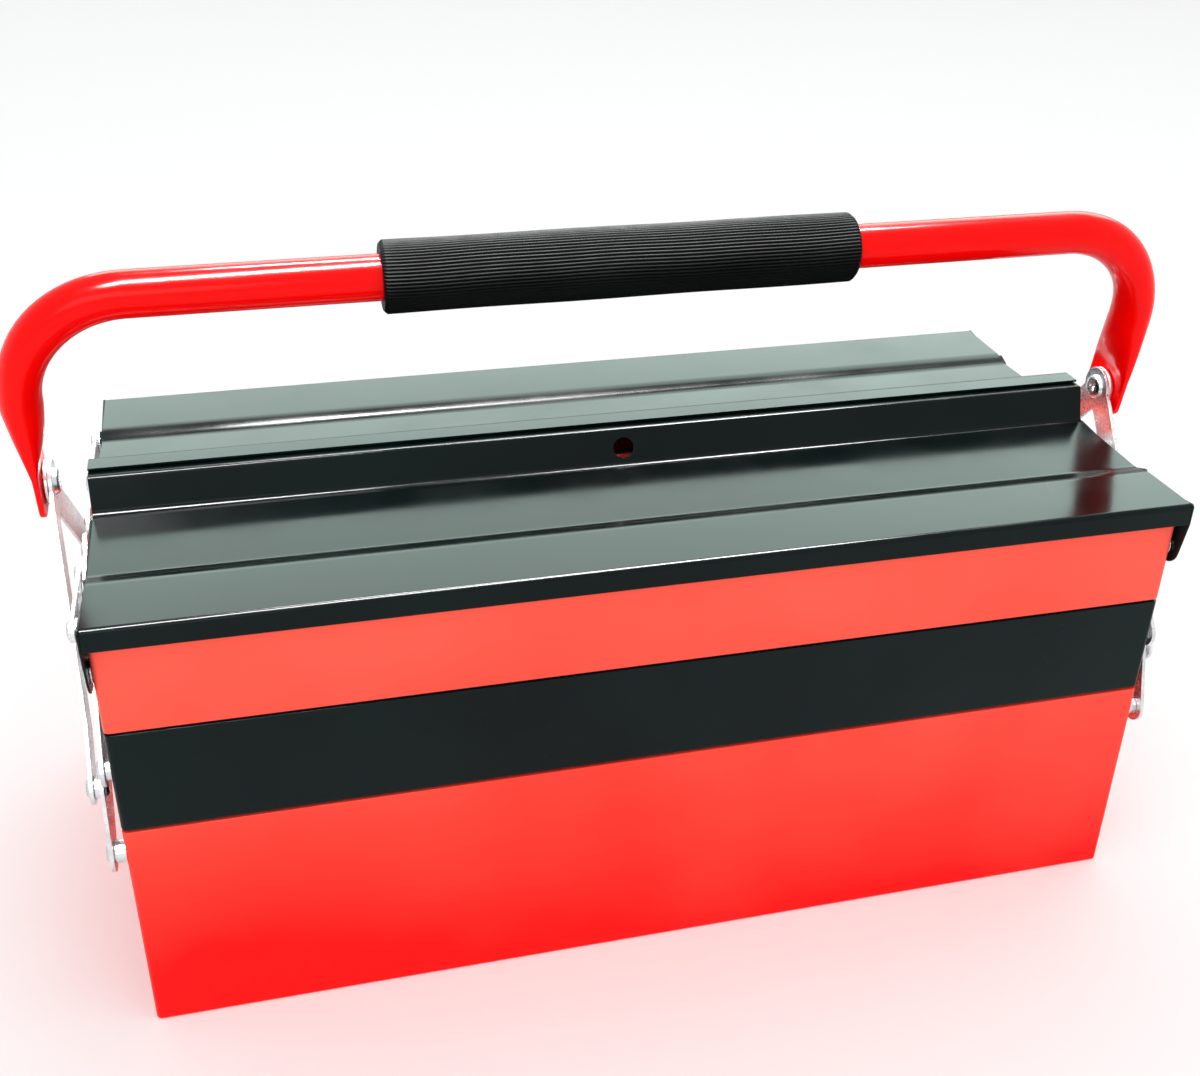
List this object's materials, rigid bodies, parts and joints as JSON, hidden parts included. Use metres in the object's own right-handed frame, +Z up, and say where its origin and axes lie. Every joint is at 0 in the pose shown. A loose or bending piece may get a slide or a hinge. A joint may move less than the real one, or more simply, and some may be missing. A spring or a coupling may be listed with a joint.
{
  "type": "toolbox with tray",
  "caption": "Cantilever steel toolbox whose stacked trays and lids spread outwards on parallel links under one folding tube handle.",
  "frame": {"origin": "on the ground under the middle of the bottom box", "axes": "+X to the right along the box, -Y out of the front, +Z up"},
  "size_m": [0.518, 0.2116, 0.3138],
  "materials": {
    "red_enamel": "glossy red powder coat",
    "handle_red": "glossy deep red enamel on tube",
    "black_enamel": "glossy black powder coat",
    "grip_rubber": "matt ribbed rubber",
    "zinc_plate": "bright zinc-plated flat steel",
    "bright_zinc": "zinc-plated fasteners"
  },
  "bodies": {
    "bottom_box": {"bottom_box": "red_enamel", "bottom_box_rivets": "bright_zinc"},
    "front_levers": {"front_levers": "zinc_plate"},
    "front_mid_tray": {"front_mid_tray": "black_enamel", "front_mid_tray_dividers": "black_enamel", "front_mid_tray_rivets": "bright_zinc"},
    "front_top_tray": {"front_top_tray": "red_enamel", "front_top_tray_dividers": "red_enamel", "front_top_tray_rivets": "bright_zinc"},
    "front_lid": {"front_lid": "black_enamel", "front_lid_rivets": "bright_zinc"},
    "front_lower_links": {"front_lower_links": "zinc_plate"},
    "front_upper_links": {"front_upper_links": "zinc_plate", "front_upper_link_rivets": "bright_zinc"},
    "front_lid_links": {"front_lid_links": "zinc_plate"},
    "front_handle_arms": {"front_handle_arms": "zinc_plate", "front_arm_rivets": "bright_zinc", "handle_bolts": "bright_zinc"},
    "rear_levers": {"rear_levers": "zinc_plate"},
    "rear_mid_tray": {"rear_mid_tray": "black_enamel", "rear_mid_tray_dividers": "black_enamel", "rear_mid_tray_rivets": "bright_zinc"},
    "rear_top_tray": {"rear_top_tray": "red_enamel", "rear_top_tray_dividers": "red_enamel", "rear_top_tray_rivets": "bright_zinc"},
    "rear_lid": {"rear_lid": "black_enamel", "rear_lid_rivets": "bright_zinc"},
    "rear_lower_links": {"rear_lower_links": "zinc_plate"},
    "rear_upper_links": {"rear_upper_links": "zinc_plate", "rear_upper_link_rivets": "bright_zinc"},
    "rear_lid_links": {"rear_lid_links": "zinc_plate"},
    "rear_handle_arms": {"rear_handle_arms": "zinc_plate", "rear_arm_rivets": "bright_zinc"},
    "handle": {"handle_tube": "handle_red", "handle_grip": "grip_rubber"}
  },
  "joints": [
    {"name": "front_lever_swing", "type": "hinge", "parent": "bottom_box", "child": "front_levers", "pos_m": [0, -0.092, 0.09], "axis": [1, 0, 0], "range_deg": [0, 80]},
    {"name": "front_mid_tray_level", "type": "hinge", "parent": "front_levers", "child": "front_mid_tray", "pos_m": [0, -0.05172, 0.138], "axis": [1, 0, 0], "range_deg": [-80, 0]},
    {"name": "front_top_tray_level", "type": "hinge", "parent": "front_levers", "child": "front_top_tray", "pos_m": [0, -0.01145, 0.186], "axis": [1, 0, 0], "range_deg": [-80, 0]},
    {"name": "front_lower_link_swing", "type": "hinge", "parent": "bottom_box", "child": "front_lower_links", "pos_m": [0, -0.05, 0.078], "axis": [1, 0, 0], "range_deg": [0, 80]},
    {"name": "front_upper_link_swing", "type": "hinge", "parent": "front_mid_tray", "child": "front_upper_links", "pos_m": [0, -0.0915, 0.1316], "axis": [1, 0, 0], "range_deg": [0, 80]},
    {"name": "front_lid_swing", "type": "hinge", "parent": "front_top_tray", "child": "front_lid", "pos_m": [0, -0.094, 0.18], "axis": [1, 0, 0], "range_deg": [0, 80]},
    {"name": "front_lid_link_level", "type": "hinge", "parent": "front_upper_links", "child": "front_lid_links", "pos_m": [0, -0.04094, 0.19186], "axis": [1, 0, 0], "range_deg": [-80, 0]},
    {"name": "front_arm_swing", "type": "hinge", "parent": "front_levers", "child": "front_handle_arms", "pos_m": [0, -0.08401, 0.11788], "axis": [1, 0, 0], "range_deg": [-106.24, 0]},
    {"name": "rear_lever_swing", "type": "hinge", "parent": "bottom_box", "child": "rear_levers", "pos_m": [0, 0.092, 0.09], "axis": [-1, 0, 0], "range_deg": [0, 80]},
    {"name": "rear_mid_tray_level", "type": "hinge", "parent": "rear_levers", "child": "rear_mid_tray", "pos_m": [0, 0.05172, 0.138], "axis": [-1, 0, 0], "range_deg": [-80, 0]},
    {"name": "rear_top_tray_level", "type": "hinge", "parent": "rear_levers", "child": "rear_top_tray", "pos_m": [0, 0.01145, 0.186], "axis": [-1, 0, 0], "range_deg": [-80, 0]},
    {"name": "rear_lower_link_swing", "type": "hinge", "parent": "bottom_box", "child": "rear_lower_links", "pos_m": [0, 0.05, 0.078], "axis": [-1, 0, 0], "range_deg": [0, 80]},
    {"name": "rear_upper_link_swing", "type": "hinge", "parent": "rear_mid_tray", "child": "rear_upper_links", "pos_m": [0, 0.0915, 0.1316], "axis": [-1, 0, 0], "range_deg": [0, 80]},
    {"name": "rear_lid_swing", "type": "hinge", "parent": "rear_top_tray", "child": "rear_lid", "pos_m": [0, 0.094, 0.18], "axis": [-1, 0, 0], "range_deg": [0, 80]},
    {"name": "rear_lid_link_level", "type": "hinge", "parent": "rear_upper_links", "child": "rear_lid_links", "pos_m": [0, 0.04094, 0.19186], "axis": [-1, 0, 0], "range_deg": [-80, 0]},
    {"name": "rear_arm_swing", "type": "hinge", "parent": "rear_levers", "child": "rear_handle_arms", "pos_m": [0, 0.08401, 0.11788], "axis": [-1, 0, 0], "range_deg": [-106.24, 0]},
    {"name": "handle_swing", "type": "hinge", "parent": "front_handle_arms", "child": "handle", "pos_m": [0, 0, 0.2145], "axis": [1, 0, 0], "range_deg": [-30, 70]}
  ],
  "couplings": [
    {"joint": "front_mid_tray_level", "follows": "front_lever_swing", "ratio": -1},
    {"joint": "front_top_tray_level", "follows": "front_lever_swing", "ratio": -1},
    {"joint": "front_lower_link_swing", "follows": "front_lever_swing", "ratio": 1},
    {"joint": "front_upper_link_swing", "follows": "front_lever_swing", "ratio": 1},
    {"joint": "front_lid_swing", "follows": "front_lever_swing", "ratio": 1},
    {"joint": "front_lid_link_level", "follows": "front_lever_swing", "ratio": -1},
    {"joint": "front_arm_swing", "follows": "front_lever_swing", "ratio": -1.3279},
    {"joint": "rear_mid_tray_level", "follows": "front_lever_swing", "ratio": -1},
    {"joint": "rear_top_tray_level", "follows": "front_lever_swing", "ratio": -1},
    {"joint": "rear_lower_link_swing", "follows": "front_lever_swing", "ratio": 1},
    {"joint": "rear_upper_link_swing", "follows": "front_lever_swing", "ratio": 1},
    {"joint": "rear_lid_swing", "follows": "front_lever_swing", "ratio": 1},
    {"joint": "rear_lid_link_level", "follows": "front_lever_swing", "ratio": -1},
    {"joint": "rear_arm_swing", "follows": "front_lever_swing", "ratio": -1.3279},
    {"joint": "rear_lever_swing", "follows": "front_lever_swing", "ratio": 1}
  ]
}
